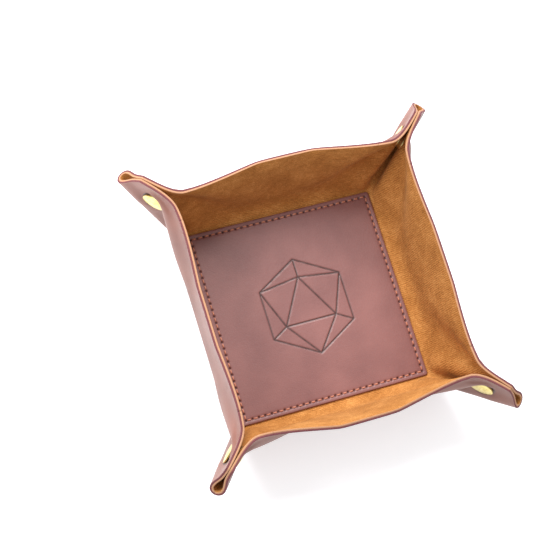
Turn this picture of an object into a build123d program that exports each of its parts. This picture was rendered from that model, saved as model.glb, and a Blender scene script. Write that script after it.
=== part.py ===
from build123d import *
import os
from math import asin, atan2, cos, degrees, hypot, pi, radians, sin, sqrt, tan

# A folding dice tray: one square sheet of leather laminated to a suede lining, with a sewn
# centre panel. The four corners are pinched into ears, and one snap fastener holds each ear.
# Millimetres. Origin at the centre of the underside, +Z up, +X right, +Y back.

# ---- driving dimensions ----
SHEET = 200.0            # side of the flat square that the tray is cut from
CORNER_CUT = 25.0        # leg of the cut-off corner of the square
LEATHER = 1.0            # outer leather
LINING = 0.9             # suede lining
PANEL = 100.0            # side of the sewn centre panel
PANEL_THICK = 1.2
BEND_RADIUS = 7.0        # base bend, at the middle of the sheet's thickness
LEAN_CORNER = 81.5       # lean of every wall where it meets an ear, degrees from the base
LEAN_MIDDLE = {"right": 84.0, "left": 84.0, "back": 75.0, "front": 75.0}
POCKET_TURN = 75.5       # the rounded pocket at a base corner ends a little below the ear
EAR_RISE = 36.0          # the line from the base corner that an ear is measured along, degrees
FOLD_TILT = 3.6          # an ear's folded edge climbs this much more than that line
FOLD_CROSSING = 11.8     # and crosses it this far from the base corner
EAR_HALF_GAP = 0.9       # from the middle of an ear to its lining
SNAP_IN = 36.25          # snap centre from the base corner, along the ear's line
SNAP_UP = 14.5           # snap centre from the ear's line, square to it
FOLD_CLEAR = 0.15        # from the middle of an ear to its folded strip, and between opened ears
PINCH_WIDTH = 12.0       # wall left outside the base square before the layers meet, at the rim

STITCHES = 28            # stitches along each side of the panel
STITCH_SIDE = 95.2       # side of the sewn square
STITCH_SHARE = 0.62      # length of a stitch over its pitch
THREAD_WIDTH = 0.7
THREAD_THICK = 0.5
THREAD_SUNK = 0.3        # how deep the top thread lies in the panel
NEEDLE_HOLE = 0.9

MARK_HEIGHT = 50.0       # pressed mark, a plain twenty-sided die seen face on
MARK_FACE = 0.62         # its front face's reach from the middle, over that of its outline
MARK_LINE = 0.8
MARK_DEPTH = 0.35

CAP_DIAMETER = 12.5
CAP_RIM_THICK = 0.6
CAP_DOME = 0.75
CAP_SUNK = 0.3           # the caps are drawn into the leather
POST_DIAMETER = 3.8
POST_HOLE = 4.2
POST_REACH = {True: 0.75, False: 0.4}    # how far the post goes into a socket, or into a stud
SOCKET_DIAMETER = 11.0
STUD_DIAMETER = 10.4
STUD_BALL = 5.2
SOCKET_BORE = 5.9
SPRING_WIRE = 0.7
SNAP_RECESS = 0.6        # socket and stud sit this deep in the lining
FIT_GAP = 0.1            # between pieces that are pressed together
SOCKET_WALL = 0.6        # metal of the socket's closed end
SOCKET_TAPER = 1.0       # the socket's outside narrows this much towards the stud
STUD_WALL = 0.5
STUD_NECK = 0.3          # how much the ball's neck is thinner, on its radius
STUD_NECK_END = 0.1      # heights on the stud, from the ear's middle towards its own face
STUD_BALL_WIDEST = -0.2
STUD_TIP = -0.55
STUD_TIP_TAPER = 0.2

# ---- worked out from them ----
THICK = LEATHER + LINING
HALF_BASE = PANEL / 2
HALF_SHEET = SHEET / 2
BEND_CENTRE_Z = THICK / 2 + BEND_RADIUS
OUTER_BEND = BEND_RADIUS + THICK / 2
LAYER_BEND = OUTER_BEND - LEATHER
INNER_BEND = BEND_RADIUS - THICK / 2
EAR_FACES = {
    "leather": (EAR_HALF_GAP + LINING, EAR_HALF_GAP + THICK),
    "lining": (EAR_HALF_GAP, EAR_HALF_GAP + LINING),
}
BEND_FACES = {"leather": (LAYER_BEND, OUTER_BEND), "lining": (INNER_BEND, LAYER_BEND)}
# strips of the fold: lower and upper edge above the folded edge, and start from the ear's middle
FOLD_STRIPS = {
    "leather": [(0, LEATHER, FOLD_CLEAR), (LEATHER, THICK, EAR_HALF_GAP + LINING)],
    "lining": [(LEATHER, THICK, FOLD_CLEAR)],
}
EAR_START = 10.4         # the ear's plates start clear of the rounded base corner
SEAM_GAP = 0.05

SIDES = {
    "right": Vector(1, 0, 0),
    "back": Vector(0, 1, 0),
    "left": Vector(-1, 0, 0),
    "front": Vector(0, -1, 0),
}
UP = Vector(0, 0, 1)
# each ear half by its wall and the wall at its other end
EARS = [
    ("right", "back"), ("right", "front"), ("left", "back"), ("left", "front"),
    ("back", "right"), ("back", "left"), ("front", "right"), ("front", "left"),
]

os.makedirs("parts", exist_ok=True)


def save(part, name):
    part.label = name
    export_step(part, f"parts/{name}.step")


def lean(side, along):
    """Lean of a wall in radians at a place along it, smooth from its middle to its ends."""
    share = cos(pi * along / PANEL) ** 2
    return radians(LEAN_CORNER + (LEAN_MIDDLE[side] - LEAN_CORNER) * share)


def cross_plane(side, along):
    """Plane across a wall: local x is outward and local y is up."""
    out = SIDES[side]
    sideways = UP.cross(out)
    return Plane(origin=sideways * along, x_dir=out, z_dir=out.cross(UP))


def bend_point(radius, angle):
    return (HALF_BASE + radius * sin(angle), BEND_CENTRE_Z - radius * cos(angle))


def wall_outline(side, along, faces):
    """Cross-section of a wall above its bend, between two faces of the sheet."""
    angle = lean(side, along)
    height = HALF_SHEET - HALF_BASE - BEND_RADIUS * angle
    corners = []
    inner, outer = faces
    for radius, risen in ((inner, SEAM_GAP), (outer, SEAM_GAP), (outer, height), (inner, height)):
        x, y = bend_point(radius, angle)
        corners.append((x + risen * cos(angle), y + risen * sin(angle)))
    return corners


def ear_plane(wall, end, offset=0.0):
    """Plane of an ear half: origin at the base corner, local x along the ear, local y square to it
    in the ear, and local z towards its outer face."""
    out = (SIDES[wall] + SIDES[end]).normalized()
    normal = (SIDES[wall] - SIDES[end]).normalized()
    fold = out * cos(radians(EAR_RISE)) + UP * sin(radians(EAR_RISE))
    corner = (SIDES[wall] + SIDES[end]) * HALF_BASE + UP * (THICK / 2)
    plane = Plane(origin=corner + normal * offset, x_dir=fold, z_dir=normal)
    return plane


def ear_height_sign(wall, end):
    """The ear's local y points up on one half of a corner and down on the other."""
    return 1 if ear_plane(wall, end).y_dir.Z > 0 else -1


def ear_point(u, v):
    """A place on the flat sheet, in the ear's own frame: along the ear's line, and above it."""
    return ((u + v - PANEL) / sqrt(2), (u - v) / sqrt(2))


def fold_point(x, above):
    """A place on an ear at x along its line, so far above its folded edge."""
    return (x, (x - FOLD_CROSSING) * tan(radians(FOLD_TILT)) + above)


FOLD_TIP = ear_point(HALF_SHEET - CORNER_CUT / 2, HALF_SHEET - CORNER_CUT / 2)
RIM_TIP = ear_point(HALF_SHEET, HALF_SHEET - CORNER_CUT)
PINCH = ear_point(HALF_SHEET, HALF_BASE + PINCH_WIDTH)
PINCH_ANGLE = atan2(PINCH[1], PINCH[0])


# ---- base ----
stitch_pitch = STITCH_SIDE / STITCHES
stitch_row = GridLocations(stitch_pitch, STITCH_SIDE, STITCHES, 2)
stitch_column = GridLocations(STITCH_SIDE, stitch_pitch, 2, STITCHES)
hole_row = GridLocations(stitch_pitch, STITCH_SIDE, STITCHES + 1, 2)
hole_column = GridLocations(STITCH_SIDE, stitch_pitch, 2, STITCHES - 1)
stitch_length = stitch_pitch * STITCH_SHARE
panel_top = THICK + PANEL_THICK

with BuildPart() as base_leather:
    with BuildSketch():
        Rectangle(PANEL, PANEL)
    extrude(amount=LEATHER)
    # shallow channel that the bobbin thread lies in
    with BuildSketch():
        Rectangle(STITCH_SIDE + THREAD_WIDTH, STITCH_SIDE + THREAD_WIDTH)
        Rectangle(STITCH_SIDE - THREAD_WIDTH, STITCH_SIDE - THREAD_WIDTH, mode=Mode.SUBTRACT)
    extrude(amount=THREAD_THICK, mode=Mode.SUBTRACT)
save(base_leather.part, "base_leather")

with BuildPart() as base_lining:
    with BuildSketch(Plane.XY.offset(LEATHER)):
        Rectangle(PANEL, PANEL)
    extrude(amount=LINING)
save(base_lining.part, "base_lining")


def die_lines():
    """Lines of a regular twenty-sided die seen square to one face: outline, face and struts."""
    radius = MARK_HEIGHT / 2
    face_radius = radius * MARK_FACE
    rim = [(radius * sin(pi * k / 3), radius * cos(pi * k / 3)) for k in range(6)]
    face = [(face_radius * sin(2 * pi * k / 3), face_radius * cos(2 * pi * k / 3)) for k in range(3)]
    lines = [(rim[k], rim[(k + 1) % 6]) for k in range(6)]
    for k in range(3):
        lines.append((face[k], face[(k + 1) % 3]))
        lines += [(face[k], rim[(2 * k + step) % 6]) for step in (-1, 0, 1)]
    return lines


with BuildPart() as center_panel:
    with BuildSketch(Plane.XY.offset(THICK)):
        Rectangle(PANEL, PANEL)
    extrude(amount=PANEL_THICK)
    # channel of the top thread
    with BuildSketch(Plane.XY.offset(panel_top)):
        Rectangle(STITCH_SIDE + THREAD_WIDTH, STITCH_SIDE + THREAD_WIDTH)
        Rectangle(STITCH_SIDE - THREAD_WIDTH, STITCH_SIDE - THREAD_WIDTH, mode=Mode.SUBTRACT)
    extrude(amount=-THREAD_SUNK, mode=Mode.SUBTRACT)
    # needle holes, which start on a corner of the sewn square
    with BuildSketch(Plane.XY.offset(panel_top)):
        with hole_row:
            Circle(NEEDLE_HOLE / 2)
        with hole_column:
            Circle(NEEDLE_HOLE / 2)
    extrude(amount=-PANEL_THICK, mode=Mode.SUBTRACT)
    # pressed mark
    with BuildSketch(Plane.XY.offset(panel_top)):
        for start, end in die_lines():
            run = (end[0] - start[0], end[1] - start[1])
            with Locations(((start[0] + end[0]) / 2, (start[1] + end[1]) / 2)):
                SlotCenterToCenter(hypot(*run), MARK_LINE, rotation=degrees(atan2(run[1], run[0])))
    extrude(amount=-MARK_DEPTH, mode=Mode.SUBTRACT)
save(center_panel.part, "center_panel")

with BuildPart() as panel_thread:
    with BuildSketch(Plane.XY.offset(panel_top - THREAD_SUNK)):
        with stitch_row:
            SlotOverall(stitch_length, THREAD_WIDTH)
        with stitch_column:
            SlotOverall(stitch_length, THREAD_WIDTH, rotation=90)
    extrude(amount=THREAD_THICK)
save(panel_thread.part, "panel_thread")

with BuildPart() as bobbin_thread:
    with BuildSketch():
        with stitch_row:
            SlotOverall(stitch_length, THREAD_WIDTH)
        with stitch_column:
            SlotOverall(stitch_length, THREAD_WIDTH, rotation=90)
    extrude(amount=THREAD_THICK)
save(bobbin_thread.part, "bobbin_thread")

# ---- walls and the soft bends that join them to the base ----
STATIONS = [-HALF_BASE, -HALF_BASE / 2, 0.0, HALF_BASE / 2, HALF_BASE]

for side in SIDES:
    for layer, faces in BEND_FACES.items():
        with BuildPart() as wall:
            for along in STATIONS:
                with BuildSketch(cross_plane(side, along)):
                    Polygon(*wall_outline(side, along, faces), align=None)
            loft()
        save(wall.part, f"wall_{side}_{layer}")

for layer, (inner, outer) in BEND_FACES.items():
    with BuildPart() as base_bends:
        for side in SIDES:
            # the bend turns through the lean that the whole wall has at least
            turn = radians(min(LEAN_CORNER, LEAN_MIDDLE[side]))
            with BuildSketch(cross_plane(side, -HALF_BASE)):
                with BuildLine():
                    CenterArc((HALF_BASE, BEND_CENTRE_Z), outer, -90, degrees(turn))
                    CenterArc((HALF_BASE, BEND_CENTRE_Z), inner, -90, degrees(turn))
                    Line((HALF_BASE, BEND_CENTRE_Z - outer), (HALF_BASE, BEND_CENTRE_Z - inner))
                    Line(bend_point(outer, turn), bend_point(inner, turn))
                make_face()
            extrude(amount=-PANEL)
        for wall_side, end_side in EARS[:4]:
            # rounded pocket at the base corner, turned about the corner
            out = (SIDES[wall_side] + SIDES[end_side]).normalized()
            corner = (SIDES[wall_side] + SIDES[end_side]) * HALF_BASE
            start = SIDES[wall_side]
            sweep_up = 1 if start.cross(SIDES[end_side]).Z > 0 else -1
            with BuildSketch(Plane(origin=corner, x_dir=start, z_dir=start.cross(UP))):
                with BuildLine():
                    turn = radians(POCKET_TURN)
                    CenterArc((0, BEND_CENTRE_Z), outer, -90, degrees(turn))
                    CenterArc((0, BEND_CENTRE_Z), inner, -90, degrees(turn))
                    Line((0, BEND_CENTRE_Z - outer), (0, BEND_CENTRE_Z - inner))
                    Line((outer * sin(turn), BEND_CENTRE_Z - outer * cos(turn)),
                         (inner * sin(turn), BEND_CENTRE_Z - inner * cos(turn)))
                make_face()
            revolve(axis=Axis(corner, UP * sweep_up), revolution_arc=90)
    save(base_bends.part, f"base_bends_{layer}")

# ---- ears ----
for wall_side, end_side in EARS:
    flip = ear_height_sign(wall_side, end_side)
    outline = [
        fold_point(EAR_START, THICK),
        fold_point(FOLD_TIP[0], THICK),
        RIM_TIP,
        PINCH,
        (EAR_START * cos(PINCH_ANGLE), EAR_START * sin(PINCH_ANGLE)),
    ]
    outline = [(x, flip * y) for x, y in outline]
    for layer, (near, far) in EAR_FACES.items():
        with BuildPart() as ear:
            with BuildSketch(ear_plane(wall_side, end_side, near)):
                Polygon(*outline, align=None)
            extrude(amount=far - near)
            # the sheet folds round under the ear and meets the other half at the ear's middle
            for low, high, start in FOLD_STRIPS[layer]:
                strip = [fold_point(EAR_START, low), fold_point(FOLD_TIP[0], low),
                         fold_point(FOLD_TIP[0], high), fold_point(EAR_START, high)]
                with BuildSketch(ear_plane(wall_side, end_side, start)):
                    Polygon(*[(x, flip * y) for x, y in strip], align=None)
                extrude(amount=far - start)
            # hole for the snap's post, and the seat pressed into the face by the snap
            hole_plane = ear_plane(wall_side, end_side, near)
            with BuildSketch(hole_plane):
                with Locations((SNAP_IN, flip * SNAP_UP)):
                    Circle(POST_HOLE / 2)
            extrude(amount=far - near, mode=Mode.SUBTRACT)
            if layer == "leather":
                seat, seat_radius, seat_depth = far, CAP_DIAMETER / 2, -CAP_SUNK
            else:
                seat, seat_radius, seat_depth = near, SOCKET_DIAMETER / 2, SNAP_RECESS
            with BuildSketch(ear_plane(wall_side, end_side, seat)):
                with Locations((SNAP_IN, flip * SNAP_UP)):
                    Circle(seat_radius + FIT_GAP)
            extrude(amount=seat_depth, mode=Mode.SUBTRACT)
        save(ear.part, f"ear_{wall_side}_{end_side}_{layer}")

    # the sheet between the wall's end and the ear, a ruled strip through both thicknesses
    along_sign = 1 if UP.cross(SIDES[wall_side]).dot(SIDES[end_side]) > 0 else -1
    wall_face = wall_outline(wall_side, HALF_BASE, (INNER_BEND, OUTER_BEND))
    plate = ear_plane(wall_side, end_side, EAR_HALF_GAP)
    pinch_dir = (plate.x_dir * cos(PINCH_ANGLE) + plate.y_dir * (flip * sin(PINCH_ANGLE))).normalized()
    pinch_length = hypot(*PINCH)
    with BuildPart() as ear_bend:
        with BuildSketch(cross_plane(wall_side, along_sign * (HALF_BASE + SEAM_GAP))):
            Polygon(*wall_face, align=None)
        section = Plane(origin=plate.origin - plate.z_dir.cross(pinch_dir) * (flip * -SEAM_GAP),
                        x_dir=plate.z_dir, z_dir=plate.z_dir.cross(pinch_dir))
        with BuildSketch(section):
            Polygon((0, EAR_START), (THICK, EAR_START), (THICK, pinch_length), (0, pinch_length),
                    align=None)
        loft(ruled=True)
    save(ear_bend.part, f"ear_bend_{wall_side}_{end_side}")

# ---- snap fasteners ----
cap_face = EAR_HALF_GAP + THICK - CAP_SUNK
socket_top = EAR_HALF_GAP + SNAP_RECESS
mating_face = -EAR_HALF_GAP + FIT_GAP
dome_radius = ((CAP_DIAMETER / 2) ** 2 + CAP_DOME ** 2) / (2 * CAP_DOME)
dome_angle = asin(CAP_DIAMETER / 2 / dome_radius)


def snap_plane(wall_side, end_side):
    """Local x lies in the ear and local y is the snap's axis, towards this half's outer face.
    The origin is on the snap's axis, in the middle of the ear."""
    plate = ear_plane(wall_side, end_side)
    flip = ear_height_sign(wall_side, end_side)
    centre = plate.origin + plate.x_dir * SNAP_IN + plate.y_dir * (flip * SNAP_UP)
    return Plane(origin=centre, x_dir=plate.x_dir, z_dir=plate.x_dir.cross(plate.z_dir))


for wall_side, end_side in EARS:
    plane = snap_plane(wall_side, end_side)
    axis = Axis(plane.origin, plane.y_dir)
    corner_name = f"{wall_side}_{end_side}"
    has_socket = wall_side in ("right", "left")

    # domed cap with its post, whose end is spread inside the socket or the stud
    post_end = socket_top - POST_REACH[has_socket]
    radius = CAP_DIAMETER / 2
    rim_top = cap_face + CAP_RIM_THICK
    with BuildPart() as cap:
        with BuildSketch(plane):
            with BuildLine():
                Polyline(
                    (0, rim_top + CAP_DOME),
                    (0, post_end),
                    (POST_DIAMETER / 2, post_end),
                    (POST_DIAMETER / 2, cap_face),
                    (radius, cap_face),
                    (radius, rim_top),
                )
                dome_half = (dome_radius * sin(dome_angle / 2),
                             rim_top + CAP_DOME - dome_radius * (1 - cos(dome_angle / 2)))
                ThreePointArc((radius, rim_top), dome_half, (0, rim_top + CAP_DOME))
            make_face()
        revolve(axis=axis)
    save(cap.part, f"snap_cap_{corner_name}")

    if has_socket:
        # female half: a cup with a groove inside that holds the ring spring
        with BuildPart() as socket:
            with BuildSketch(plane):
                with BuildLine():
                    Polyline(
                        (POST_DIAMETER / 2 + FIT_GAP, socket_top),
                        (SOCKET_DIAMETER / 2, socket_top),
                        (SOCKET_DIAMETER / 2, socket_top - SOCKET_WALL),
                        (SOCKET_DIAMETER / 2 - SOCKET_TAPER, mating_face),
                        (SOCKET_BORE / 2, mating_face),
                        (SOCKET_BORE / 2, -SPRING_WIRE / 2 - FIT_GAP),
                        (SOCKET_BORE / 2 + SPRING_WIRE, -SPRING_WIRE / 2 - FIT_GAP),
                        (SOCKET_BORE / 2 + SPRING_WIRE, SPRING_WIRE / 2 + FIT_GAP),
                        (SOCKET_BORE / 2, SPRING_WIRE / 2 + FIT_GAP),
                        (SOCKET_BORE / 2, socket_top - SOCKET_WALL),
                        (POST_DIAMETER / 2 + FIT_GAP, socket_top - SOCKET_WALL),
                        close=True,
                    )
                make_face()
            revolve(axis=axis)
        save(socket.part, f"snap_socket_{corner_name}")

        with BuildPart() as spring:
            with BuildSketch(plane):
                with Locations((SOCKET_BORE / 2 + SPRING_WIRE / 4, 0)):
                    Circle(SPRING_WIRE / 2)
            revolve(axis=axis)
        save(spring.part, f"snap_spring_{corner_name}")
    else:
        # male half: a flange with a necked ball that the ring spring grips; its axis points to
        # its own outer face, so the ball reaches to the other side of the ear's middle
        ball = STUD_BALL / 2
        flange_in = EAR_HALF_GAP + FIT_GAP / 2
        with BuildPart() as stud:
            with BuildSketch(plane):
                with BuildLine():
                    Polyline(
                        (POST_DIAMETER / 2 + FIT_GAP, socket_top),
                        (STUD_DIAMETER / 2, socket_top),
                        (STUD_DIAMETER / 2, flange_in),
                        (ball, flange_in),
                        (ball - STUD_NECK, flange_in - STUD_NECK),
                        (ball - STUD_NECK, STUD_NECK_END),
                        (ball, STUD_BALL_WIDEST),
                        (ball - STUD_TIP_TAPER, STUD_TIP),
                        (0, STUD_TIP),
                        (0, socket_top - STUD_WALL),
                        (POST_DIAMETER / 2 + FIT_GAP, socket_top - STUD_WALL),
                        close=True,
                    )
                make_face()
            revolve(axis=axis)
        save(stud.part, f"snap_stud_{corner_name}")
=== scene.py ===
"""Looks of the folding dice tray: leather sheet, suede lining, sewn panel, stitches and snaps."""
from math import cos, hypot, pi, radians, sin, sqrt

import bpy
import numpy as np
from mathutils import Matrix, Vector


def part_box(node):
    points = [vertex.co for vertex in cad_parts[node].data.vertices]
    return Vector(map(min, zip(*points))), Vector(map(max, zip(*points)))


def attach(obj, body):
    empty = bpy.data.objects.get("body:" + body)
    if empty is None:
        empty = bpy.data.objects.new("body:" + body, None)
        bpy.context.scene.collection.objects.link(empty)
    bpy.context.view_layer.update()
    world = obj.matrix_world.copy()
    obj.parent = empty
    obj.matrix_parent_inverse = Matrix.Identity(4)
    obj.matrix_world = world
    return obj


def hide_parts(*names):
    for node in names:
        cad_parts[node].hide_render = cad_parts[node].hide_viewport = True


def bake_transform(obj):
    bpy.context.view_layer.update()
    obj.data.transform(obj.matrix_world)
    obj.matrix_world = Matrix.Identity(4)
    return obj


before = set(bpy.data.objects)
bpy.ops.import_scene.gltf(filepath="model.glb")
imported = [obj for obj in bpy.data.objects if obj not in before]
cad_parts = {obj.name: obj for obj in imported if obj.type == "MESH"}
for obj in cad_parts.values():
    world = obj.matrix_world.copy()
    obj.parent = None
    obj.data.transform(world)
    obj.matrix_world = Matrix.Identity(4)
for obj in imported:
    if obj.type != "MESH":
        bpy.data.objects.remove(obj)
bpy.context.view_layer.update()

MM = 0.001

# ---- sizes in millimetres, the same as the CAD model's --------------------------------------

SHEET = 200.0            # side of the flat sheet
CORNER_CUT = 25.0        # cut off each corner, measured along the side
LEATHER = 1.0
LINING = 0.9
THICK = LEATHER + LINING
MIDDLE = THICK / 2       # height of the sheet's mid-thickness where it lies flat
BEND_RADIUS = 7.0        # of the soft bends round the base, at mid-thickness
EAR_RISE = radians(36)   # slope of the fold under each ear
EAR_OFFSET = 0.9 + MIDDLE     # from a corner's diagonal plane to the ear's mid-thickness
SNAP_ALONG = 36.25       # snap centre, along the fold from the base's corner
SNAP_UP = 14.5           # and square to the fold
CAP_RADIUS = 6.25
CAP_SEAT = 0.34          # how deep the leather is pressed in round a cap, and how far out
CAP_SEAT_WIDE = 2.4
CAP_SHADE_WIDE = 0.9          # width of the ring of painted shade round a cap, where the cap's edge casts its shadow
RIM_IN = {"x": 61.1, "y": 67.3}      # how far out the middle of each wall's rim stands
LEAN = {"x": radians(84), "y": radians(75)}
HALF_BASE = round(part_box("center_panel")[1][0] / MM, 3)
PANEL_TOP = round(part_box("center_panel")[1][2] / MM, 3)
PANEL_SINK = 0.07        # of the panel's face below that, apart from its swell
PANEL_SWELL = 0.05       # how far the middle of the panel stands up, and how far in it rises
PANEL_SWELL_WIDE = 8
PANEL_ROUND = 0.5        # rounding of the panel's upper edge, and of its corners in plan
PANEL_CORNER = 1.4
SEAM_SINK = 0.16         # how deep the seam pulls the panel down, and how far out
SEAM_SINK_WIDE = 1.5
STITCHES = 28            # on each side of the panel
STITCH_SIDE = 95.2       # side of the seam's square
STITCH_PITCH = STITCH_SIDE / STITCHES
STITCH_SHARE = 0.62      # of the pitch that a stitch covers
HOLE_FUNNEL = 0.85       # radius that a needle hole is drawn in to, at the panel's face
HOLE_DEPTH = 0.8
THREAD_RADIUS = 0.36
BOBBIN_MIDDLE = 0.34     # height of the lower thread, in its channel under the base
PANEL_STITCH_SINK = 0.55         # how far the ends of the stitches go into their holes
BOBBIN_SINK = 0.25
MARK_HEIGHT = 50.0
MARK_FACE = 0.62         # radius of the mark's inner triangle, as a share of its outline's
MARK_LINE = 0.8
MARK_DEPTH = 0.35
RIB_PITCH = 1.0          # of the fine ribs in the suede
RIM_PROFILE = [(0.0, 0.0), (0.14, 0.75), (0.5, 1.0), (0.86, 0.75), (1.0, 0.0)]
RIM_BULGE = 0.12         # how far a cut edge is rounded outward
RIM_SHADING = 0.8        # how far the shading of a cut edge turns towards its two faces

# ---- where the sheet is cut into pieces, on the flat sheet ----------------------------------

SEAM_ALONG = 47.5        # where a wall's piece meets its ears' pieces
PATCH_OUT = 55.0         # the wall's piece keeps the base's corner up to here

OUTWARD = {"right": (1, 0), "back": (0, 1), "left": (-1, 0), "front": (0, -1)}
EARS = [
    (wall, end)
    for wall in OUTWARD
    for end in OUTWARD
    if OUTWARD[wall][0] * OUTWARD[end][0] == 0 and OUTWARD[wall][1] * OUTWARD[end][1] == 0
]

# ---- shape of the sheet: one quarter is relaxed, and the rest is its mirror image ------------

COARSE = 2.5             # spacing of the relaxed points
CELLS = round(SHEET / 2 / COARSE)
MARGIN_CELLS = 3         # relaxed beyond the corner cut, so that the cut edge comes out smooth
DIAGONAL = np.array([1, -1, 0]) / sqrt(2)
STRETCH_STIFFNESS = 400.0
BEND_STIFFNESS = 1.0
CONTACT = 40.0           # pushes apart the halves of an ear
RIM_PULL = 2.0           # holds the middle of each rim to RIM_IN
RIM_HELD = 7             # rim points that it holds, from the middle on
CLOSE_PULL = 0.5         # draws the free edges of an ear together
CLOSE_FROM = 155         # on points at least this far out, u and v added,
CLOSE_APART = 9.5        # and this far from the diagonal
BEND_PULL = 1.0          # holds the bends at the base to wall_section
BEND_HELD = 20           # fully up to here along the base's side,
BEND_FADE = 26           # and fading over this length
CREASE_WIDE = 2.6        # half width of the crease under each ear
CREASE_SOFT = 0.25       # share of the bending stiffness that is left there
SNAP_PIN = CAP_RADIUS - 1.0      # radius that a snap clamps


def ear_plane(u, v, offset, side):
    """Where a flat point (u, v) lies on the plane of its ear. side is 1 on an X wall's ear."""
    along = (u + v - 2 * HALF_BASE) / sqrt(2)
    up = side * (u - v) / sqrt(2)
    out = np.array([1, 1, 0]) / sqrt(2)
    fold = out * cos(EAR_RISE) + np.array([0, 0, sin(EAR_RISE)])
    across = -out * sin(EAR_RISE) + np.array([0, 0, cos(EAR_RISE)])
    corner = np.array([HALF_BASE, HALF_BASE, 0])
    spread = np.multiply.outer(along, fold) + np.multiply.outer(up, across)
    return corner + spread + side * offset * DIAGONAL


def wall_section(reach, lean):
    """How far out and how high the wall is, reach millimetres from the base along the sheet."""
    turned = np.minimum(reach / BEND_RADIUS, lean)
    straight = np.maximum(reach - BEND_RADIUS * lean, 0)
    out = BEND_RADIUS * np.sin(turned) + straight * cos(lean)
    high = BEND_RADIUS * (1 - np.cos(turned)) + straight * sin(lean)
    return out, high


def minimised(function, x, rounds, memory=20):
    """L-BFGS: x that makes function's value small. function gives its value and its slope."""
    value, slope = function(x)
    history = []
    for _ in range(rounds):
        step = slope.copy()
        shares = []
        for move, change, inverse in reversed(history):
            share = inverse * (move @ step)
            shares.append(share)
            step -= share * change
        if history:
            move, change, inverse = history[-1]
            step /= inverse * (change @ change)
        else:
            step *= 1e-3 / np.abs(slope).max()
        for (move, change, inverse), share in zip(history, reversed(shares)):
            step += (share - inverse * (change @ step)) * move
        if slope @ step < 0:
            step = slope.copy()
            history.clear()
        length = 1.0
        for _ in range(12):
            new_x = x - length * step
            new_value, new_slope = function(new_x)
            if new_value <= value - 1e-4 * length * (slope @ step):
                break
            length /= 2
        move, change = new_x - x, new_slope - slope
        if move @ change > 1e-12:
            history = (history + [(move, change, 1 / (move @ change))])[-memory:]
        x, value, slope = new_x, new_value, new_slope
    return x


def mirrored(points, sign=True):
    """The quarter grid with the row before each symmetry line added in front."""
    grid = np.concatenate([points[1:2], points])
    grid = np.concatenate([grid[:, 1:2], grid], axis=1)
    if sign:
        grid[0, :, 0] *= -1
        grid[:, 0, 1] *= -1
    return grid


def unmirrored(grid):
    """Slopes on the added rows, given back to the points that they mirror."""
    grid = grid.copy()
    grid[0, :, 0] *= -1
    grid[:, 0, 1] *= -1
    points = grid[1:, 1:].copy()
    points[1] += grid[0, 1:]
    points[:, 1] += grid[1:, 0]
    points[1, 1] += grid[0, 0]
    return points


def elastic(grid, live, soft):
    """Energy of the sheet's stretching, bending and twisting, and its slope on the grid."""
    size = CELLS + 2
    slope = np.zeros_like(grid)
    total = 0.0
    for a, b in ((1, 0), (0, 1), (1, 1), (1, -1)):
        far = (slice(a, size), slice(b, size) if b >= 0 else slice(0, size + b))
        near = (slice(0, size - a), slice(0, size - b) if b >= 0 else slice(-b, size))
        rest = COARSE * hypot(a, b)
        line = grid[far] - grid[near]
        long = np.sqrt((line * line).sum(-1)) + 1e-12
        strain = np.where(live[far] & live[near], long / rest - 1, 0)
        total += STRETCH_STIFFNESS * (strain * strain).sum()
        force = (2 * STRETCH_STIFFNESS * strain / rest / long)[..., None] * line
        slope[far] += force
        slope[near] -= force
    for a, b in ((1, 0), (0, 1)):
        here = (slice(a, size - a), slice(b, size - b))
        after = (slice(2 * a, size), slice(2 * b, size))
        before = (slice(0, size - 2 * a), slice(0, size - 2 * b))
        weight = live[here] & live[after] & live[before]
        weight = (weight * soft[here])[..., None] * BEND_STIFFNESS / COARSE ** 2
        curve = grid[after] + grid[before] - 2 * grid[here]
        total += (weight * curve * curve).sum()
        slope[after] += 2 * weight * curve
        slope[before] += 2 * weight * curve
        slope[here] -= 4 * weight * curve
    squares = (grid[1:, 1:], grid[1:, :-1], grid[:-1, 1:], grid[:-1, :-1])
    twist = squares[0] - squares[1] - squares[2] + squares[3]
    weight = live[1:, 1:] & live[1:, :-1] & live[:-1, 1:] & live[:-1, :-1]
    softest = np.minimum(np.minimum(soft[1:, 1:], soft[:-1, :-1]),
                         np.minimum(soft[1:, :-1], soft[:-1, 1:]))
    weight = (weight * softest)[..., None] * 2 * BEND_STIFFNESS / COARSE ** 2
    total += (weight * twist * twist).sum()
    force = 2 * weight * twist
    slope[1:, 1:] += force
    slope[1:, :-1] -= force
    slope[:-1, 1:] -= force
    slope[:-1, :-1] += force
    return total, slope


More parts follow.
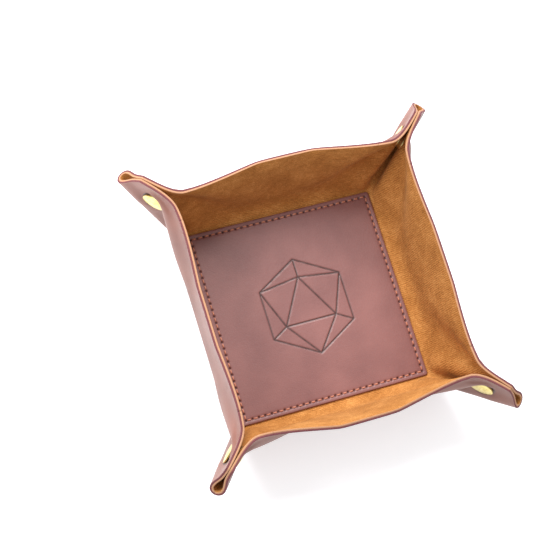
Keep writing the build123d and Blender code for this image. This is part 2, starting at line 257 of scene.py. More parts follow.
def relaxed_quarter(rounds):
    """The sheet's mid-thickness over the +X +Y quarter, as a grid of points.

    The base and the snaps are pinned. The rims' middles, the bends at the base and the ears' free
    edges are pulled to set places, and the stiffness of the sheet gives the rest.
    """
    flat = np.arange(CELLS + 1) * COARSE
    u, v = np.meshgrid(flat, flat, indexing="ij")
    alive = u + v <= SHEET - CORNER_CUT + (MARGIN_CELLS + 0.5) * COARSE
    corner = (u > HALF_BASE) & (v > HALF_BASE)
    side = np.sign(u - v)
    apart = np.abs(u - v) / sqrt(2)
    reach_x, reach_y = np.maximum(u - HALF_BASE, 0), np.maximum(v - HALF_BASE, 0)
    out_x, high_x = wall_section(reach_x, LEAN["x"])
    out_y, high_y = wall_section(reach_y, LEAN["y"])
    wall_x = np.stack([HALF_BASE + out_x, v, high_x], -1)
    wall_y = np.stack([u, HALF_BASE + out_y, high_y], -1)

    points = np.stack([u, v, 0 * u], -1)
    on_x, on_y = (u > HALF_BASE) & (v <= HALF_BASE), (v > HALF_BASE) & (u <= HALF_BASE)
    points[on_x] = wall_x[on_x]
    points[on_y] = wall_y[on_y]
    pinned = (u <= HALF_BASE) & (v <= HALF_BASE)
    snap_u = HALF_BASE + (SNAP_ALONG + SNAP_UP) / sqrt(2)
    snap_v = HALF_BASE + (SNAP_ALONG - SNAP_UP) / sqrt(2)
    for way in (1, -1, 0):
        half = corner & (side == way)
        points[half] = ear_plane(u[half], v[half], EAR_OFFSET, way or 1)
        if way:
            centre = (snap_u, snap_v)[::way]
            snap = np.hypot(u - centre[0], v - centre[1]) <= SNAP_PIN
            points[snap] = ear_plane(u[snap], v[snap], EAR_OFFSET, way)
            pinned = pinned | snap
    diagonal = corner & (side == 0)
    points[diagonal] = ear_plane(u[diagonal], v[diagonal], 0, 1)
    pinned = pinned | ~alive

    least = np.where(corner, np.minimum(MIDDLE, 0.8 * apart), 0)
    closing = corner & alive & ~pinned & (u + v >= CLOSE_FROM) & (apart >= CLOSE_APART)
    close = np.where(closing, CLOSE_PULL, 0)
    fade_x = np.clip(1 - (v - BEND_HELD) / BEND_FADE, 0, 1) ** 2
    fade_y = np.clip(1 - (u - BEND_HELD) / BEND_FADE, 0, 1) ** 2
    near_x, near_y = reach_x <= 2 * BEND_RADIUS, reach_y <= 2 * BEND_RADIUS
    hold_x = np.where(on_x & near_x, BEND_PULL * fade_x, 0)[..., None]
    hold_y = np.where(on_y & near_y, BEND_PULL * fade_y, 0)[..., None]
    soft = mirrored(np.where(corner & (apart < CREASE_WIDE), CREASE_SOFT, 1.0), False)
    live = mirrored(alive, False)
    rim_points = slice(0, RIM_HELD)

    def energy(x):
        points = x.reshape(CELLS + 1, CELLS + 1, 3)
        total, slope = elastic(mirrored(points), live, soft)
        slope = unmirrored(slope)

        across = points @ DIAGONAL
        gap = across * side
        deep = np.where(alive & corner, np.minimum(gap - least, 0), 0)
        total += CONTACT * (deep * deep).sum()
        off = np.where(alive & diagonal, across, 0)
        total += 20 * CONTACT * (off * off).sum()
        wide = np.maximum(gap - MIDDLE, 0)
        total += (close * wide * wide).sum()
        push = 2 * CONTACT * deep * side + 40 * CONTACT * off + 2 * close * wide * side
        slope += push[..., None] * DIAGONAL
        for hold, place in ((hold_x, wall_x), (hold_y, wall_y)):
            total += (hold * (points - place) ** 2).sum()
            slope += 2 * hold * (points - place)
        under = np.minimum(points[..., 2], 0)
        total += CONTACT * (under * under).sum()
        slope[..., 2] += 2 * CONTACT * under
        for axis, where in ((0, (CELLS, rim_points)), (1, (rim_points, CELLS))):
            away = points[where][..., axis] - RIM_IN["xy"[axis]]
            total += RIM_PULL * (away * away).sum()
            slope[where + (axis,)] += 2 * RIM_PULL * away
        slope[pinned] = 0
        slope[0, :, 0] = 0
        slope[:, 0, 1] = 0
        return total, slope.ravel()

    return minimised(energy, points.ravel().copy(), rounds).reshape(points.shape)


def whole(quarter):
    """All four quarters as one grid."""
    half = np.concatenate([quarter[:0:-1] * np.array([-1, 1, 1]), quarter])
    return np.concatenate([half[:, :0:-1] * np.array([1, -1, 1]), half], axis=1)


def refined(grid):
    """The grid with a smooth point added between every two, by the four-point rule."""
    for axis in (0, 1):
        g = np.moveaxis(grid, axis, 0)
        g = np.concatenate([2 * g[:1] - g[1:2], g, 2 * g[-1:] - g[-2:-1]])
        between = (9 * (g[1:-2] + g[2:-1]) - g[:-3] - g[3:]) / 16
        finer = np.empty((2 * len(g) - 5,) + g.shape[1:])
        finer[::2] = g[1:-1]
        finer[1::2] = between
        grid = np.moveaxis(finer, 0, axis)
    return grid


def smooth(share):
    """Eases from 0 to 1, flat at both ends."""
    share = np.clip(share, 0, 1)
    return share * share * (3 - 2 * share)


class Surface:
    """The sheet's mid-thickness as points, normals and faces. Normals point to the lining."""

    def __init__(self, grid):
        self.points = grid + np.array([0, 0, MIDDLE])
        count = len(grid)
        flat = np.linspace(-SHEET / 2, SHEET / 2, count)
        self.u, self.v = np.meshgrid(flat, flat, indexing="ij")
        along_u, along_v = np.gradient(grid, axis=0), np.gradient(grid, axis=1)
        normal = np.cross(along_u, along_v)
        self.normals = normal / (np.linalg.norm(normal, axis=-1, keepdims=True) + 1e-12)
        spacing = SHEET / (count - 1)
        limit = round((SHEET - CORNER_CUT) / spacing)
        middle = (count - 1) // 2
        self.faces = []
        self.centres = []
        for i in range(count - 1):
            for j in range(count - 1):
                self.add_cell(i, j, count, middle, limit)
        self.centres = np.array(self.centres)
        self.on_rim = (
            (np.maximum(np.abs(self.u), np.abs(self.v)) > SHEET / 2 - 1e-6)
            | (np.abs(np.abs(self.u) + np.abs(self.v) - SHEET + CORNER_CUT) < 1e-6)
        )

    def add_cell(self, i, j, count, middle, limit):
        """One square, split along the fold where it crosses one, and cut at the corner cut."""
        loop = [(i, j), (i + 1, j), (i + 1, j + 1), (i, j + 1)]
        size = [abs(a - middle) + abs(b - middle) for a, b in loop]
        inside = [k for k in range(4) if size[k] <= limit]
        if len(inside) < 3:
            return
        loops = [[loop[k] for k in inside]]
        edge_i, edge_j = i + 0.5 - middle, j + 0.5 - middle
        if abs(abs(edge_i) - abs(edge_j)) < 0.1 and len(inside) == 4:
            start = 0 if edge_i * edge_j > 0 else 1
            turned = loop[start:] + loop[:start]
            loops = [turned[:3], [turned[2], turned[3], turned[0]]]
        for points in loops:
            self.faces.append([a * count + b for a, b in points])
            self.centres.append([
                (sum(p[axis] for p in points) / len(points) - middle) * SHEET / (count - 1)
                for axis in (0, 1)
            ])


# ---- pieces cut out of the sheet ------------------------------------------------------------


def slab(name, surface, chosen, low, high, materials):
    """A closed piece between the offsets low and high from the sheet's mid-thickness."""
    faces = [surface.faces[k] for k in np.flatnonzero(chosen)]
    used = np.unique(np.concatenate([np.array(f) for f in faces]))
    place = {old: new for new, old in enumerate(used)}
    faces = [[place[k] for k in f] for f in faces]
    points = surface.points.reshape(-1, 3)[used]
    normals = surface.normals.reshape(-1, 3)[used]
    rim = surface.on_rim.ravel()[used]
    flat = np.stack([surface.u.ravel()[used], surface.v.ravel()[used], 0 * used], -1)
    low = low(flat) if callable(low) else np.full(len(used), low)
    high = high(flat) if callable(high) else np.full(len(used), high)
    edges = {(f[k - 1], f[k]) for f in faces for k in range(len(f))}
    border = sorted((a, b) for a, b in edges if (b, a) not in edges)

    outward = np.zeros_like(points)
    for a, b in border:
        outward[[a, b]] += np.cross(points[b] - points[a], normals[a])
    size = np.linalg.norm(outward, axis=1, keepdims=True)
    outward = outward / np.maximum(size, 1e-9)

    rings = []
    border_points = sorted({a for edge in border for a in edge})
    ring_place = {k: n for n, k in enumerate(border_points)}
    for share, bulge in RIM_PROFILE:
        offset = low + (high - low) * share
        rings.append(points + normals * offset[:, None]
                     + outward * (RIM_BULGE * bulge * rim)[:, None])
    count = len(used)
    vertices = [rings[0], rings[-1]] + [ring[border_points] for ring in rings[1:-1]]
    flats = [flat, flat] + [flat[border_points]] * (len(rings) - 2)

    def ring_index(level, k):
        if level == 0:
            return k
        if level == len(rings) - 1:
            return count + k
        return 2 * count + (level - 1) * len(border_points) + ring_place[k]

    mesh_faces = [f[::-1] for f in faces] + [[count + k for k in f] for f in faces]
    loop_normals = [-normals[k] for f in faces for k in f[::-1]]
    loop_normals += [normals[k] for f in faces for k in f]
    tilt = np.linspace(-RIM_SHADING, RIM_SHADING, len(rings))
    for a, b in border:
        for level in range(len(rings) - 1):
            mesh_faces.append([ring_index(level, a), ring_index(level, b),
                               ring_index(level + 1, b), ring_index(level + 1, a)])
            for k, at in ((a, level), (b, level), (b, level + 1), (a, level + 1)):
                way = outward[k] + normals[k] * tilt[at]
                loop_normals.append(way / np.linalg.norm(way))
    mesh = bpy.data.meshes.new(name)
    mesh.from_pydata((np.concatenate(vertices) * MM).tolist(), [], mesh_faces)
    mesh.attributes.new("sheet", "FLOAT_VECTOR", "POINT")
    mesh.attributes["sheet"].data.foreach_set("vector", np.concatenate(flats).ravel())
    # Painted shade: a thin ring round each snap cap is darkened in the leather's colour, standing
    # in for the shadow at the cap's edge.
    cap_shade = 1 - smooth(beyond_cap(np.concatenate(flats)) / CAP_SHADE_WIDE)
    mesh.attributes.new("pressed", "FLOAT", "POINT")
    mesh.attributes["pressed"].data.foreach_set("value", cap_shade)
    for material in materials:
        mesh.materials.append(material)
    index = np.zeros(len(mesh_faces), np.int32)
    index[2 * len(faces):] = 1
    mesh.polygons.foreach_set("material_index", index)
    mesh.polygons.foreach_set("use_smooth", np.ones(len(mesh_faces), bool))
    mesh.normals_split_custom_set([n.tolist() for n in loop_normals])
    piece = bpy.data.objects.new(name, mesh)
    bpy.context.scene.collection.objects.link(piece)
    return piece


def beyond_cap(flat):
    """How far each flat place is from the edge of the nearest snap cap."""
    a, b = np.abs(flat[:, 0]), np.abs(flat[:, 1])
    centre_far = HALF_BASE + (SNAP_ALONG + SNAP_UP) / sqrt(2)
    centre_near = HALF_BASE + (SNAP_ALONG - SNAP_UP) / sqrt(2)
    away = np.hypot(np.maximum(a, b) - centre_far, np.minimum(a, b) - centre_near)
    return away - CAP_RADIUS


def cap_dimple(flat):
    """The leather's outer face, pressed in a little round each snap cap."""
    return -MIDDLE + CAP_SEAT * (1 - smooth(beyond_cap(flat) / CAP_SEAT_WIDE))


def flat_zone(centres):
    """For each face, the wall whose side it lies on, and how far out and along it is."""
    x, y = centres[:, 0], centres[:, 1]
    on_x = np.abs(x) > np.abs(y)
    out = np.where(on_x, np.abs(x), np.abs(y))
    along = np.where(on_x, np.abs(y), np.abs(x))
    return on_x, out, along


def chosen_faces(surface, part, wall=None, end=None):
    """Which faces belong to the base, a wall, or one half of an ear."""
    x, y = surface.centres[:, 0], surface.centres[:, 1]
    on_x, out, along = flat_zone(surface.centres)
    base = out < HALF_BASE
    if part == "base":
        return base
    a, b = OUTWARD[wall]
    here = ~base & (on_x if a else ~on_x) & (x * a + y * b > 0)
    own = (along < SEAM_ALONG) | (out < PATCH_OUT)
    if part == "wall":
        return here & own
    c, d = OUTWARD[end]
    return here & ~own & (x * c + y * d > 0)


def blend_wall(piece):
    """Bakes the piece's placement into its mesh."""
    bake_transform(piece)


def blend_ear(piece):
    """Bakes the piece's placement into its mesh."""
    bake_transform(piece)


def build_sheet(coarse, fine, looks):
    """The leather and the lining, each in a base, four walls and eight halves of ears."""
    layers = {
        "leather": (cap_dimple, -MIDDLE + LEATHER, looks["leather"], "outer_leather"),
        "lining": (-MIDDLE + LEATHER, MIDDLE, looks["lining"], "suede_lining"),
    }
    for layer, (low, high, materials, slot) in layers.items():

        def zone(name, surface, chosen):
            piece = slab(f"sheet_{name}_{layer}", surface, chosen, low, high, materials)
            return piece

        piece = zone("base", coarse, chosen_faces(coarse, "base"))
        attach(piece, "base")
        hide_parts("base_" + layer, "base_bends_" + layer)
        for wall in OUTWARD:
            piece = zone(wall, coarse, chosen_faces(coarse, "wall", wall))
            blend_wall(piece)
            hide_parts(f"wall_{wall}_{layer}")
        for wall, end in EARS:
            piece = zone(f"ear_{wall}_{end}", fine, chosen_faces(fine, "ear", wall, end))
            blend_ear(piece)
            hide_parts(f"ear_{wall}_{end}_{layer}")
            if layer == "leather":
                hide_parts(f"ear_bend_{wall}_{end}")


# ---- sewn centre panel ----------------------------------------------------------------------


def mark_lines():
    """The pressed mark: a plain twenty-sided die seen face on, as (start, end) lines."""
    radius = MARK_HEIGHT / 2
    rim = [np.array([sin(pi * k / 3), cos(pi * k / 3)]) * radius for k in range(6)]
    face = [
        np.array([sin(2 * pi * k / 3), cos(2 * pi * k / 3)]) * radius * MARK_FACE
        for k in range(3)
    ]
    lines = [(rim[k - 1], rim[k]) for k in range(6)]
    lines += [(face[k - 1], face[k]) for k in range(3)]
    for k in range(3):
        lines += [(face[k], rim[(2 * k + turn) % 6]) for turn in (-1, 0, 1)]
    return lines


def distance_to_line(x, y, start, end):
    """How far each place is from the line between two points."""
    way = end - start
    share = ((x - start[0]) * way[0] + (y - start[1]) * way[1]) / (way @ way)
    share = np.clip(share, 0, 1)
    return np.hypot(x - start[0] - share * way[0], y - start[1] - share * way[1])


def stitch_points():
    """Middles of the stitches and their direction: along X on two sides, along Y on two."""
    places = [(k + 0.5) * STITCH_PITCH - STITCH_SIDE / 2 for k in range(STITCHES)]
    for side in (-STITCH_SIDE / 2, STITCH_SIDE / 2):
        for place in places:
            yield np.array([place, side]), np.array([1.0, 0.0])
            yield np.array([side, place]), np.array([0.0, 1.0])


def panel_lines():
    """Where the panel's grid lines lie: closer together at the needle holes and the edge."""
    near_hole = np.array([-0.8, -0.55, -0.3, 0, 0.3, 0.55, 0.8])
    between = np.linspace(0.8, STITCH_PITCH - 0.8, 5)[1:-1]
    holes = np.arange(STITCHES + 1) * STITCH_PITCH - STITCH_SIDE / 2
    lines = [hole + step for hole in holes for step in np.concatenate([near_hole, between])]
    margin = HALF_BASE - np.array([1.6, 1.2, 0.9, 0.6, 0.4, 0.25, 0.12, 0.04, 0.0])
    lines = [x for x in lines if abs(x) < HALF_BASE - 1.7]
    return np.array(sorted(set(np.round(np.concatenate([lines, margin, -margin]), 4))))


def panel_face(x, y):
    """Height of the panel's face, and how dark each place is painted, 0 to 1: painted shade in
    the needle holes, and the mark's darkened grooves.
    """
    to_edge = HALF_BASE - np.maximum(np.abs(x), np.abs(y))
    inside = np.clip(PANEL_ROUND - to_edge, 0, PANEL_ROUND)
    drop = PANEL_ROUND - np.sqrt(PANEL_ROUND ** 2 - inside ** 2)
    wide = STITCH_SIDE / 2
    seam = np.abs(np.maximum(np.abs(x), np.abs(y)) - wide)
    drop += SEAM_SINK * (1 - smooth(seam / SEAM_SINK_WIDE))
    on_pitch_x, on_pitch_y = [
        np.abs((a + wide) / STITCH_PITCH - np.round((a + wide) / STITCH_PITCH)) * STITCH_PITCH
        for a in (x, y)
    ]
    hole = np.minimum(np.hypot(np.abs(np.abs(x) - wide), on_pitch_y),
                      np.hypot(np.abs(np.abs(y) - wide), on_pitch_x))
    hole = 1 - smooth(hole / HOLE_FUNNEL)
    drop += HOLE_DEPTH * hole
    away = np.full_like(x, np.inf)
    for start, end in mark_lines():
        away = np.minimum(away, distance_to_line(x, y, start, end))
    recess_share = 1 - smooth((away - 0.12) / (MARK_LINE / 2 + 0.1))
    drop += MARK_DEPTH * recess_share
    swell = PANEL_SWELL * smooth(to_edge / PANEL_SWELL_WIDE)
    # The second value paints shade into the needle holes and darkens the mark's grooves in the
    # leather's colour.
    return PANEL_TOP - PANEL_SINK - drop + swell, np.maximum(recess_share, hole)


def rounded_corners(x, y):
    """The panel's grid with its four corners drawn in to an arc."""
    inner = HALF_BASE - PANEL_CORNER
    a, b = np.maximum(np.abs(x) - inner, 0), np.maximum(np.abs(y) - inner, 0)
    shrink = np.where((a > 0) & (b > 0), np.maximum(a, b) / np.maximum(np.hypot(a, b), 1e-9), 1)
    return (np.where(shrink < 1, np.sign(x) * (inner + a * shrink), x),
            np.where(shrink < 1, np.sign(y) * (inner + b * shrink), y))


def build_panel(material, edge_material):
    """The sewn panel: its pressed face, its edge and a flat back, as one closed mesh."""
    lines = panel_lines()
    count = len(lines)
    x, y = np.meshgrid(lines, lines, indexing="ij")
    height, darkening = panel_face(x, y)
    points = np.stack([*rounded_corners(x, y), height], -1).reshape(-1, 3)
    faces = [
        [i * count + j, (i + 1) * count + j, (i + 1) * count + j + 1, i * count + j + 1]
        for i in range(count - 1) for j in range(count - 1)
    ]
    ring = [i * count for i in range(count)]
    ring += [(count - 1) * count + j for j in range(1, count)]
    ring += [i * count + count - 1 for i in range(count - 2, -1, -1)]
    ring += list(range(count - 2, 0, -1))
    bottom = points[ring].copy()
    bottom[:, 2] = THICK
    first = len(points)
    for k in range(len(ring)):
        after = (k + 1) % len(ring)
        faces.append([first + k, first + after, ring[after], ring[k]])
    faces.append([first + k for k in range(len(ring) - 1, -1, -1)])
    mesh = bpy.data.meshes.new("panel")
    mesh.from_pydata((np.concatenate([points, bottom]) * MM).tolist(), [], faces)
    # Painted shade in the needle holes and the mark's darkened grooves, passed to the panel's
    # leather.
    pressed = np.concatenate([darkening.ravel(), np.zeros(len(ring))])
    mesh.attributes.new("pressed", "FLOAT", "POINT")
    mesh.attributes["pressed"].data.foreach_set("value", pressed)
    mesh.materials.append(material)
    mesh.materials.append(edge_material)
    index = np.zeros(len(faces), np.int32)
    index[-len(ring) - 1:] = 1
    mesh.polygons.foreach_set("material_index", index)
    smooth_faces = np.ones(len(faces), bool)
    smooth_faces[-1] = False
    mesh.polygons.foreach_set("use_smooth", smooth_faces)
    piece = bpy.data.objects.new("sewn_panel", mesh)
    bpy.context.scene.collection.objects.link(piece)
    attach(piece, "base")
    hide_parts("center_panel")


def thread_mesh(name, height, sink, material):
    """All stitches of one seam face: two twisted plies whose ends go sink into the holes."""
    rings, around = 13, 12
    turns, ply_depth, flatness = 0.9, 0.14, 0.8
    length = STITCH_PITCH * STITCH_SHARE
    points, faces = [], []
    for middle, way in stitch_points():
        first = len(points)
        side = np.array([-way[1], way[0]])
        for n in range(rings):
            share = n / (rings - 1)
            place = middle + way * (share - 0.5) * length
            end = abs(2 * share - 1)
            rise = height - sink * end ** 4
            taper = sqrt(max(0.0, 1 - 0.85 * end ** 6))
            for k in range(around):
                angle = 2 * pi * k / around
                twist = 2 * pi * share * turns
                ply = 1 + ply_depth * (abs(cos(angle - twist)) - 0.6)
                radius = THREAD_RADIUS * taper * ply
                flat = place + side * radius * cos(angle)
                points.append([flat[0], flat[1], rise + flatness * radius * sin(angle)])
        for n in range(rings - 1):
            for k in range(around):
                after = (k + 1) % around
                a = first + n * around
                faces.append([a + k, a + after, a + around + after, a + around + k][::-1])
        faces.append([first + k for k in range(around)])
        faces.append([first + (rings - 1) * around + k for k in range(around)][::-1])
    mesh = bpy.data.meshes.new(name)
    mesh.from_pydata((np.array(points) * MM).tolist(), [], faces)
    mesh.materials.append(material)
    mesh.polygons.foreach_set("use_smooth", np.ones(len(faces), bool))
    piece = bpy.data.objects.new(name, mesh)
    bpy.context.scene.collection.objects.link(piece)
    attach(piece, "base")
    return piece


# ---- materials ------------------------------------------------------------------------------


class Look:
    """A material with short ways to add and join nodes."""

    def __init__(self, name, **values):
        self.material = bpy.data.materials.new(name)
        self.material.use_nodes = True
        self.nodes = self.material.node_tree.nodes
        self.links = self.material.node_tree.links
        self.shader = self.nodes["Principled BSDF"]
        for socket, value in values.items():
            self.shader.inputs[socket.replace("_", " ")].default_value = value

    def add(self, kind, inputs=None, **settings):
        node = self.nodes.new(kind)
        for key, value in settings.items():
            setattr(node, key, value)
        for key, value in (inputs or {}).items():
            if isinstance(value, bpy.types.NodeSocket):
                self.links.new(value, node.inputs[key])
            else:
                node.inputs[key].default_value = value
        return node

    def maths(self, operation, a, b=0.0, c=0.0):
        return self.add("ShaderNodeMath", {0: a, 1: b, 2: c}, operation=operation).outputs[0]

    def noise(self, place, scale, detail=3.0, rough=0.5):
        inputs = {"Vector": place, "Scale": scale, "Detail": detail, "Roughness": rough}
        return self.add("ShaderNodeTexNoise", inputs).outputs["Fac"]

    def cells(self, place, scale):
        inputs = {"Vector": place, "Scale": scale}
        return self.add("ShaderNodeTexVoronoi", inputs, feature="F1").outputs["Distance"]

    def ramp(self, value, stops):
        node = self.add("ShaderNodeValToRGB", {"Fac": value})
        elements = node.color_ramp.elements
        while len(elements) < len(stops):
            elements.new(0.5)
        for element, (at_share, colour) in zip(elements, stops):
            element.position = at_share
            element.color = (*colour, 1)
        return node.outputs["Color"]

    def mix(self, share, a, b, kind="MIX"):
        node = self.add("ShaderNodeMix", data_type="RGBA", blend_type=kind)
        for index, value in ((0, share), (6, a), (7, b)):
            if isinstance(value, bpy.types.NodeSocket):
                self.links.new(value, node.inputs[index])
            else:
                node.inputs[index].default_value = (*value, 1) if index else value
        return node.outputs[2]

    def sheet_place(self):
        """Place in the flat sheet, in millimetres."""
        return self.add("ShaderNodeAttribute", attribute_name="sheet").outputs["Vector"]

    def place(self):
        """Place in the object, in millimetres."""
        source = self.add("ShaderNodeTexCoord").outputs["Object"]
        inputs = {0: source, 3: 1 / MM}
        return self.add("ShaderNodeVectorMath", inputs, operation="SCALE").outputs[0]

    def colour(self, socket):
        self.links.new(socket, self.shader.inputs["Base Color"])

    def roughness(self, socket):
        self.links.new(socket, self.shader.inputs["Roughness"])

    def bump(self, height, depth, strength=1.0):
        """height from 0 to 1 stands for depth millimetres."""
        inputs = {"Height": height, "Distance": depth * MM, "Strength": strength}
        node = self.add("ShaderNodeBump", inputs)
        self.links.new(node.outputs["Normal"], self.shader.inputs["Normal"])


def leather(name, place_kind, dark, light, rough):
    """Smooth leather with pores, painted dark where its piece marks it: painted shade in needle
    holes and round snap caps, and the mark's darkened grooves.
    """
    look = Look(name, Roughness=rough, Specular_IOR_Level=0.5)
    place = getattr(look, place_kind)()
    cloud = look.noise(place, 0.045, 4.0)
    fine = look.noise(place, 1.6, 4.0, 0.6)
    pores = look.cells(place, 1.9)
    tone = look.maths("MULTIPLY", cloud, 0.75)
    tone = look.maths("ADD", tone, look.maths("MULTIPLY", fine, 0.25))
    colour = look.ramp(tone, [(0.3, dark), (0.7, light)])
    pore_tone = look.ramp(pores, [(0.05, (0.82, 0.8, 0.8)), (0.35, (1.0, 1.0, 1.0))])
    colour = look.mix(0.6, colour, pore_tone, "MULTIPLY")
    # Painted shade: the needle holes and a ring round each snap cap are darkened nearly to black;
    # the mark's grooves are darkened the same way.
    recess_share = look.add("ShaderNodeAttribute", attribute_name="pressed").outputs["Fac"]
    shade_and_groove_dark = tuple(0.10 * c for c in dark)
    colour = look.mix(look.maths("MULTIPLY", recess_share, 0.85), colour, shade_and_groove_dark)
    look.colour(colour)
    shine = look.maths("MULTIPLY_ADD", fine, 0.22, rough - 0.11)
    look.roughness(shine)
    wrinkle = look.noise(place, 0.55, 3.0)
    height = look.maths("MULTIPLY", pores, 0.5)
    height = look.maths("ADD", height, look.maths("MULTIPLY", fine, 0.35))
    height = look.maths("ADD", height, look.maths("MULTIPLY", wrinkle, 0.6))
    look.bump(height, 0.07)
    return look.material


def suede(name):
    """Brushed suede: blotchy nap with fine ribs that show in places."""
    look = Look(name, Roughness=0.95, Specular_IOR_Level=0.1, Sheen_Weight=0.12,
                Sheen_Roughness=0.4)
    look.shader.inputs["Sheen Tint"].default_value = (1.0, 0.72, 0.4, 1)
    place = look.sheet_place()
    parts = look.add("ShaderNodeSeparateXYZ", {0: place})
    drift = look.noise(place, 0.5, 3.0)
    phase = look.maths("MULTIPLY_ADD", parts.outputs[1], 2 * pi / RIB_PITCH,
                       look.maths("MULTIPLY", drift, 9.0))
    rib = look.maths("MULTIPLY_ADD", look.maths("SINE", phase), 0.5, 0.5)
    patch = look.noise(place, 0.07, 5.0, 0.6)
    nap = look.noise(place, 1.6, 5.0, 0.75)
    blotch = look.noise(place, 0.45, 3.0, 0.6)
    tone = look.maths("MULTIPLY_ADD", patch, 0.3, look.maths("MULTIPLY", nap, 0.5))
    tone = look.maths("MULTIPLY_ADD", blotch, 0.2, tone)
    colour = look.ramp(tone, [(0.36, (0.27, 0.105, 0.024)), (0.5, (0.47, 0.20, 0.055)),
                              (0.64, (0.72, 0.36, 0.12))])
    show = look.maths("MULTIPLY", look.noise(place, 0.2, 2.0), 1.1)
    line = look.ramp(rib, [(0.1, (0.60, 0.54, 0.46)), (0.8, (1.12, 1.10, 1.06))])
    colour = look.mix(show, colour, line, "MULTIPLY")
    look.colour(colour)
    height = look.maths("MULTIPLY", rib, 0.5)
    height = look.maths("ADD", height, look.maths("MULTIPLY", nap, 0.8))
    look.bump(height, 0.16)
    return look.material


def cut_edge(name, dark, light):
    """The fibres of a cut edge."""
    look = Look(name, Roughness=0.8, Specular_IOR_Level=0.3)
    place = look.place()
    fibres = look.noise(place, 3.5, 4.0, 0.7)
    look.colour(look.ramp(fibres, [(0.3, dark), (0.7, light)]))
    look.bump(fibres, 0.08)
    return look.material


def waxed_thread():
    look = Look("waxed_thread", Roughness=0.55, Sheen_Weight=0.2)
    place = look.place()
    fibres = look.noise(place, 5.0, 4.0, 0.7)
    look.colour(look.ramp(fibres, [(0.3, (0.36, 0.12, 0.07)), (0.7, (0.56, 0.22, 0.13))]))
    look.bump(fibres, 0.05)
    return look.material


def metal(name, dark, light, rough):
    """Slightly tarnished metal, as on the snaps."""
    look = Look(name, Metallic=1.0, Roughness=rough)
    place = look.place()
    tarnish = look.noise(place, 0.5, 5.0, 0.6)
    grain = look.noise(place, 5.0, 3.0)
    look.colour(look.ramp(tarnish, [(0.35, dark), (0.65, light)]))
    look.roughness(look.maths("MULTIPLY_ADD", grain, 0.25, rough - 0.12))
    look.bump(look.maths("ADD", tarnish, look.maths("MULTIPLY", grain, 0.3)), 0.03)
    return look.material


def paint_nodes(materials):
    """Gives each carried-over CAD node its own procedural material."""
    for name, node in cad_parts.items():
        for start, material in materials.items():
            if name.startswith(start):
                node.data.materials.clear()
                node.data.materials.append(material)


# ---- camera, light and floor ----------------------------------------------------------------

CAMERA = Vector((-233.8, -134.5, 790.5)) * MM
LOOK_AT = Vector((-17.4, 22.35, 15.0)) * MM
ROLL = radians(38.1)
LENS = 111.4
FLOOR_GLOW = 0.4         # lifts the floor to the white of a light table


def set_camera():
    """The photograph's camera."""
    data = bpy.data.cameras.new("camera")
    data.lens = LENS
    data.sensor_width = 36.0
    camera = bpy.data.objects.new("camera", data)
    bpy.context.scene.collection.objects.link(camera)
    back = (CAMERA - LOOK_AT).normalized()
    right = Vector((0, 0, 1)).cross(back).normalized()
    up = back.cross(right)
    turn = Matrix((right, up, back)).transposed().to_4x4()
    camera.matrix_world = Matrix.Translation(CAMERA) @ turn @ Matrix.Rotation(ROLL, 4, "Z")
    bpy.context.scene.camera = camera
    return camera


def area_light(name, camera, right, up, back, size, power):
    """A soft square light, placed from the tray in the camera's directions, in metres."""
    data = bpy.data.lights.new(name, "AREA")
    data.shape = "SQUARE"
    data.size = size
    data.energy = power
    light = bpy.data.objects.new(name, data)
    axes = camera.matrix_world.to_3x3()
    place = axes @ Vector((right, up, back))
    light.location = place
    light.rotation_euler = place.to_track_quat("Z", "Y").to_euler()
    bpy.context.scene.collection.objects.link(light)


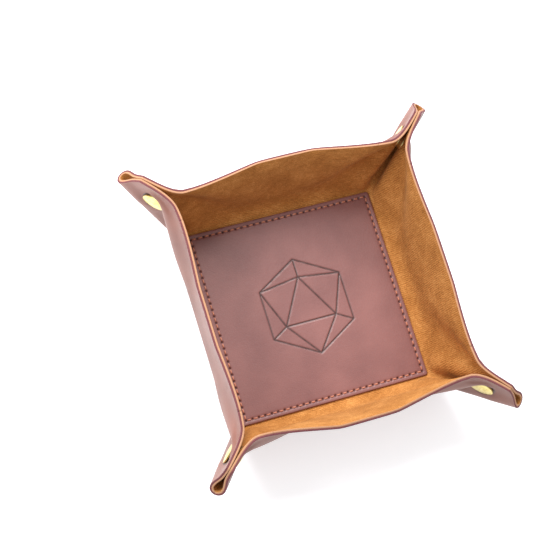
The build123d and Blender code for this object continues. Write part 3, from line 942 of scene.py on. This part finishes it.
def set_stage(camera):
    """A white floor that glows a little, white surroundings, and two lights."""
    mesh = bpy.data.meshes.new("floor")
    reach = 6.0
    corners = [(-reach, -reach, 0), (reach, -reach, 0), (reach, reach, 0), (-reach, reach, 0)]
    mesh.from_pydata(corners, [], [[0, 1, 2, 3]])
    floor = bpy.data.objects.new("floor", mesh)
    bpy.context.scene.collection.objects.link(floor)
    look = Look("floor", Roughness=0.9, Specular_IOR_Level=0.1)
    look.shader.inputs["Base Color"].default_value = (0.90, 0.91, 0.94, 1)
    look.shader.inputs["Emission Color"].default_value = (1.0, 1.0, 1.0, 1)
    look.shader.inputs["Emission Strength"].default_value = FLOOR_GLOW
    mesh.materials.append(look.material)
    world = bpy.data.worlds.new("studio")
    world.use_nodes = True
    world.node_tree.nodes["Background"].inputs["Color"].default_value = (1.0, 1.0, 1.0, 1)
    world.node_tree.nodes["Background"].inputs["Strength"].default_value = 0.75
    bpy.context.scene.world = world
    bpy.context.scene.view_settings.view_transform = "Standard"
    area_light("key", camera, 0.0, 1.0, 0.7, 0.8, 21.0)
    area_light("left", camera, -0.3, 0.15, 0.4, 0.15, 1.2)


# ---- put together ---------------------------------------------------------------------------

set_stage(set_camera())
quarter = relaxed_quarter(1600)
coarse_grid = refined(whole(quarter))
coarse_sheet = Surface(coarse_grid)
fine_sheet = Surface(refined(coarse_grid))
outer = leather("outer_leather", "sheet_place", (0.17, 0.066, 0.048), (0.27, 0.115, 0.085), 0.42)
panel = leather("panel_leather", "place", (0.17, 0.066, 0.062), (0.25, 0.105, 0.095), 0.40)
leather_edge = cut_edge("cut_leather_edge", (0.11, 0.03, 0.035), (0.20, 0.065, 0.07))
lining_edge = cut_edge("cut_lining_edge", (0.34, 0.16, 0.09), (0.58, 0.32, 0.18))
build_sheet(coarse_sheet, fine_sheet, {
    "leather": [outer, leather_edge],
    "lining": [suede("suede_lining"), lining_edge],
})
build_panel(panel, leather_edge)
thread = waxed_thread()
top_thread = thread_mesh("panel_stitches", PANEL_TOP, PANEL_STITCH_SINK, thread)
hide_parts("panel_thread")
under_thread = thread_mesh("bobbin_stitches", BOBBIN_MIDDLE, -BOBBIN_SINK, thread)
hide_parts("bobbin_thread")
paint_nodes({
    "snap_cap": metal("antique_brass", (0.66, 0.52, 0.15), (0.86, 0.73, 0.30), 0.30),
    "snap_socket": metal("socket_brass", (0.45, 0.34, 0.14), (0.66, 0.54, 0.26), 0.36),
    "snap_stud": metal("stud_brass", (0.45, 0.34, 0.14), (0.66, 0.54, 0.26), 0.30),
    "snap_spring": metal("spring_wire", (0.45, 0.45, 0.46), (0.66, 0.66, 0.67), 0.28),
})
